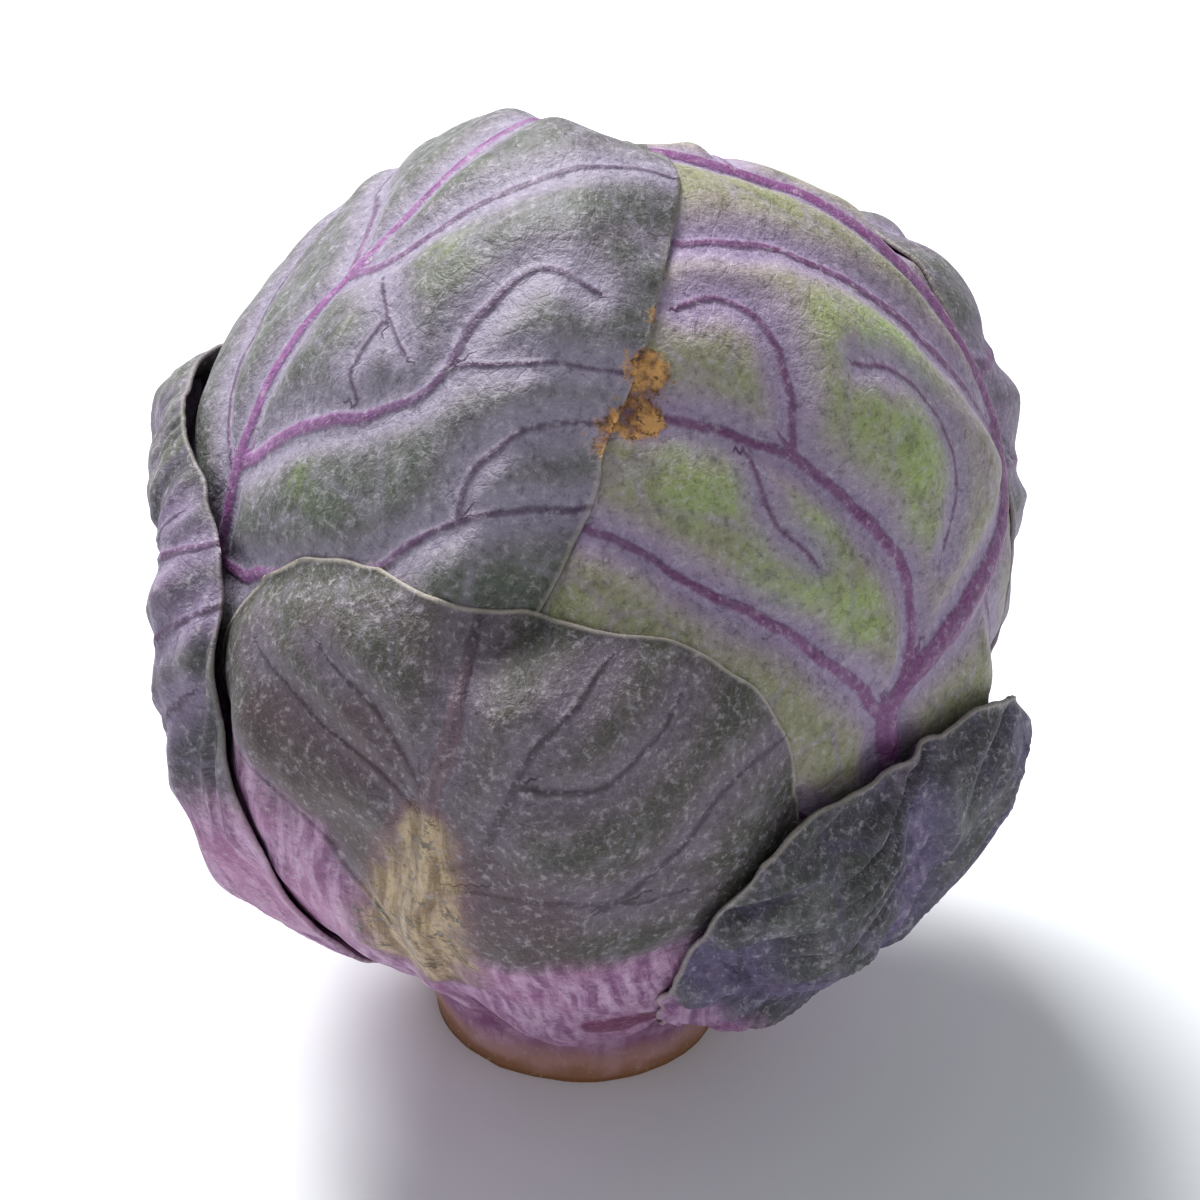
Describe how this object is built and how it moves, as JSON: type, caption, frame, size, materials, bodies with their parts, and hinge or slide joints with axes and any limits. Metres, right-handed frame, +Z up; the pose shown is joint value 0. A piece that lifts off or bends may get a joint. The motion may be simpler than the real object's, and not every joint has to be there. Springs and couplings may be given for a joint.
{
  "type": "brussels sprout",
  "caption": "Small round red Brussels sprout: waxy purple-green wrapper leaves with raised veins, closed over a leafy heart, on a short cut stalk",
  "frame": {"origin": "middle of the cut face of the stalk, in its plane", "axes": "+Z up through the crown, away from the cut face; -Y the front, where the short front leaf is; +X to the right seen from the front"},
  "size_m": [0.039, 0.039, 0.0455],
  "materials": {
    "wrapper_leaf": "waxy matt red-cabbage leaf with a pale bloom",
    "inner_leaf": "moist yellow-green leaf",
    "cut_stalk": "dried fibrous cut"
  },
  "bodies": {
    "root": {"stalk": "cut_stalk", "heart_bud": "inner_leaf", "inner_leaf_01": "inner_leaf", "inner_leaf_02": "inner_leaf", "inner_leaf_03": "inner_leaf", "inner_leaf_04": "inner_leaf", "inner_leaf_05": "inner_leaf", "inner_leaf_06": "inner_leaf", "inner_leaf_07": "inner_leaf", "inner_leaf_08": "inner_leaf", "inner_leaf_09": "inner_leaf", "inner_leaf_10": "inner_leaf", "inner_leaf_11": "inner_leaf", "inner_leaf_12": "inner_leaf", "crown_leaf_back": "wrapper_leaf", "crown_leaf_right": "wrapper_leaf", "crown_leaf_left": "wrapper_leaf", "side_leaf_back": "wrapper_leaf", "side_leaf_back_right": "wrapper_leaf", "front_leaf": "wrapper_leaf", "lower_leaf_right": "wrapper_leaf", "lower_leaf_left": "wrapper_leaf"}
  },
  "joints": []
}
